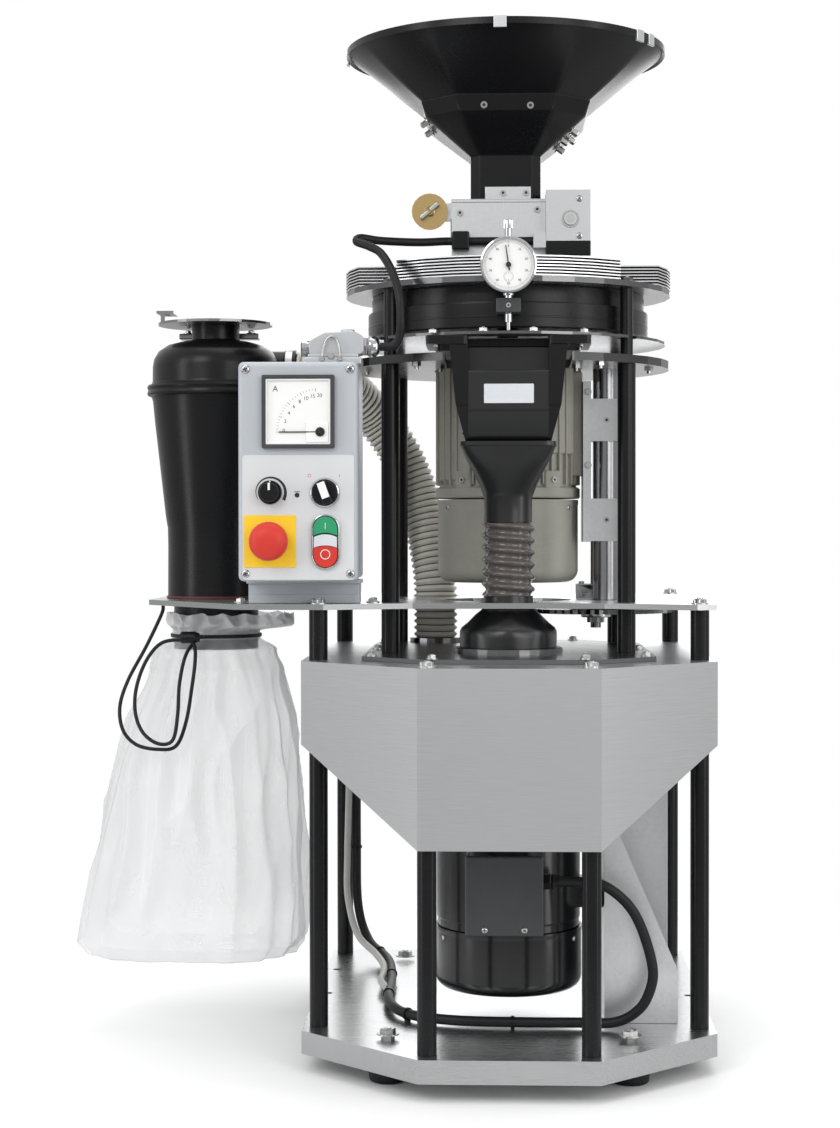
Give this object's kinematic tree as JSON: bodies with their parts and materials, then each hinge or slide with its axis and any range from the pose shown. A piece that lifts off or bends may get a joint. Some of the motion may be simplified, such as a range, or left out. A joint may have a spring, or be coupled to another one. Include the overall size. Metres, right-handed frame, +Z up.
{
  "type": "grain mill",
  "caption": "Free-standing grain mill on a column frame, with a hopper, a height-adjusted grinding head, a blower, a cyclone with a husk bag and a control box.",
  "frame": {"origin": "centre of the bounding box at floor level, cords left out", "axes": "+Z up, +Y to the back, +X to the right as seen from the front"},
  "size_m": [0.7236, 0.5932, 1.127],
  "materials": {
    "brushed_sheet": "brushed stainless sheet",
    "polished_sheet": "smooth reflective steel",
    "black_rubber": "matte black rubber",
    "black_coat": "black satin coating",
    "black_motor": "gloss black paint on a cast aluminium motor housing",
    "grey_motor": "grey enamel on a cast aluminium motor housing",
    "grey_enamel": "grey enamel on sheet steel",
    "bare_aluminium": "satin aluminium",
    "brass": "turned brass",
    "black_plastic": "black moulded plastic",
    "light_grey_plastic": "light grey moulded plastic",
    "white_plastic": "white plastic",
    "red_plastic": "red plastic",
    "green_plastic": "green plastic",
    "beige_hose": "ribbed beige plastic",
    "smoke_hose": "smoky translucent spiral hose",
    "clear_film": "clear thin film"
  },
  "bodies": {
    "frame": {"base_plate": "brushed_sheet", "foot_front_left": "black_rubber", "foot_front_right": "black_rubber", "foot_rear_left": "black_rubber", "foot_rear_right": "black_rubber", "front_column_left": "black_coat", "front_column_right": "black_coat", "side_column_left": "black_coat", "side_column_right": "black_coat", "rear_column_left": "black_coat", "rear_column_right": "black_coat", "upper_column_front_left": "black_coat", "upper_column_front_right": "black_coat", "upper_column_rear_left": "black_coat", "upper_column_rear_right": "black_coat", "blower_housing": "brushed_sheet", "housing_cover_plate": "polished_sheet", "motor_bracket": "brushed_sheet", "blower_motor": "black_motor", "blower_fan_cover": "black_coat", "table_plate": "brushed_sheet", "guide_tube": "brushed_sheet", "support_disc": "brushed_sheet", "drum": "black_coat", "top_plate": "brushed_sheet", "fin_stack": "bare_aluminium", "inlet_boot": "black_rubber", "outlet_hose": "smoke_hose", "dosing_box": "bare_aluminium", "dosing_drive": "bare_aluminium", "hopper": "black_plastic", "dial_gauge": "bare_aluminium", "cyclone": "black_plastic", "husk_bag": "clear_film", "bag_cord": "black_rubber", "suction_hose": "beige_hose", "sensor_cable": "black_rubber", "motor_cable": "black_rubber", "control_connector": "light_grey_plastic", "control_box": "light_grey_plastic", "ammeter": "white_plastic"},
    "lift": {"mill_motor": "grey_motor", "mill_fan_cover": "grey_enamel", "motor_carrier": "bare_aluminium", "drum_disc": "brushed_sheet", "outlet_chute": "black_plastic", "outlet_funnel": "black_plastic", "gauge_plunger": "polished_sheet"},
    "rotor": {"rotor": "bare_aluminium"},
    "blower_impeller": {"blower_impeller": "bare_aluminium"},
    "adjusting_wheel": {"adjusting_wheel": "bare_aluminium"},
    "gauge_needle": {"gauge_needle": "black_plastic"},
    "dosing_disc": {"dosing_disc": "brass"},
    "air_slide": {"air_slide": "brushed_sheet"},
    "ammeter_needle": {"ammeter_needle": "black_plastic"},
    "speed_knob": {"speed_knob": "black_plastic"},
    "selector_knob": {"selector_knob": "black_plastic"},
    "emergency_stop": {"emergency_stop": "red_plastic"},
    "start_button": {"start_button": "green_plastic"},
    "stop_button": {"stop_button": "red_plastic"}
  },
  "joints": [
    {"name": "gap_lift", "type": "slide", "parent": "frame", "child": "lift", "axis": [0, 0, 1], "range_m": [-0.004, 0.0015], "deforming": ["outlet_hose"]},
    {"name": "rotor_spin", "type": "hinge", "parent": "lift", "child": "rotor", "pos_m": [0.14058, 0.0346, 0.806], "axis": [0, 0, 1], "continuous": true},
    {"name": "blower_spin", "type": "hinge", "parent": "frame", "child": "blower_impeller", "pos_m": [0.14058, -0.0754, 0.366], "axis": [0, 0, 1], "continuous": true},
    {"name": "wheel_turn", "type": "hinge", "parent": "frame", "child": "adjusting_wheel", "pos_m": [0.24208, 0.0426, 0.489], "axis": [0, 0, 1], "range_deg": [-721, 271]},
    {"name": "gauge_read", "type": "hinge", "parent": "frame", "child": "gauge_needle", "pos_m": [0.14058, -0.1645, 0.86], "axis": [0, 1, 0], "range_deg": [-1441, 541]},
    {"name": "dosing_turn", "type": "hinge", "parent": "frame", "child": "dosing_disc", "pos_m": [0.05238, -0.0154, 0.9383], "axis": [0, 1, 0], "range_deg": [0, 270]},
    {"name": "air_turn", "type": "hinge", "parent": "frame", "child": "air_slide", "pos_m": [-0.20282, 0.0796, 0.8188], "axis": [0, 0, 1], "range_deg": [0, 90]},
    {"name": "ammeter_read", "type": "hinge", "parent": "frame", "child": "ammeter_needle", "pos_m": [-0.05642, -0.208, 0.681], "axis": [0, 1, 0], "range_deg": [0, 90], "stiffness_Nm_per_rad": 0.001},
    {"name": "speed_turn", "type": "hinge", "parent": "frame", "child": "speed_knob", "pos_m": [-0.10922, -0.2057, 0.618], "axis": [0, 1, 0], "range_deg": [-30, 240]},
    {"name": "selector_turn", "type": "hinge", "parent": "frame", "child": "selector_knob", "pos_m": [-0.05172, -0.2057, 0.6175], "axis": [0, 1, 0], "range_deg": [0, 60]},
    {"name": "stop_push", "type": "slide", "parent": "frame", "child": "emergency_stop", "axis": [0, 1, 0], "range_m": [0, 0.004]},
    {"name": "start_button_push", "type": "slide", "parent": "frame", "child": "start_button", "axis": [0, 1, 0], "range_m": [0, 0.003], "stiffness_N_per_m": 300},
    {"name": "stop_button_push", "type": "slide", "parent": "frame", "child": "stop_button", "axis": [0, 1, 0], "range_m": [0, 0.003], "stiffness_N_per_m": 300}
  ],
  "couplings": [
    {"joint": "wheel_turn", "follows": "gap_lift", "rad_per_m": 3141.6},
    {"joint": "gauge_read", "follows": "gap_lift", "rad_per_m": 6283.2}
  ]
}
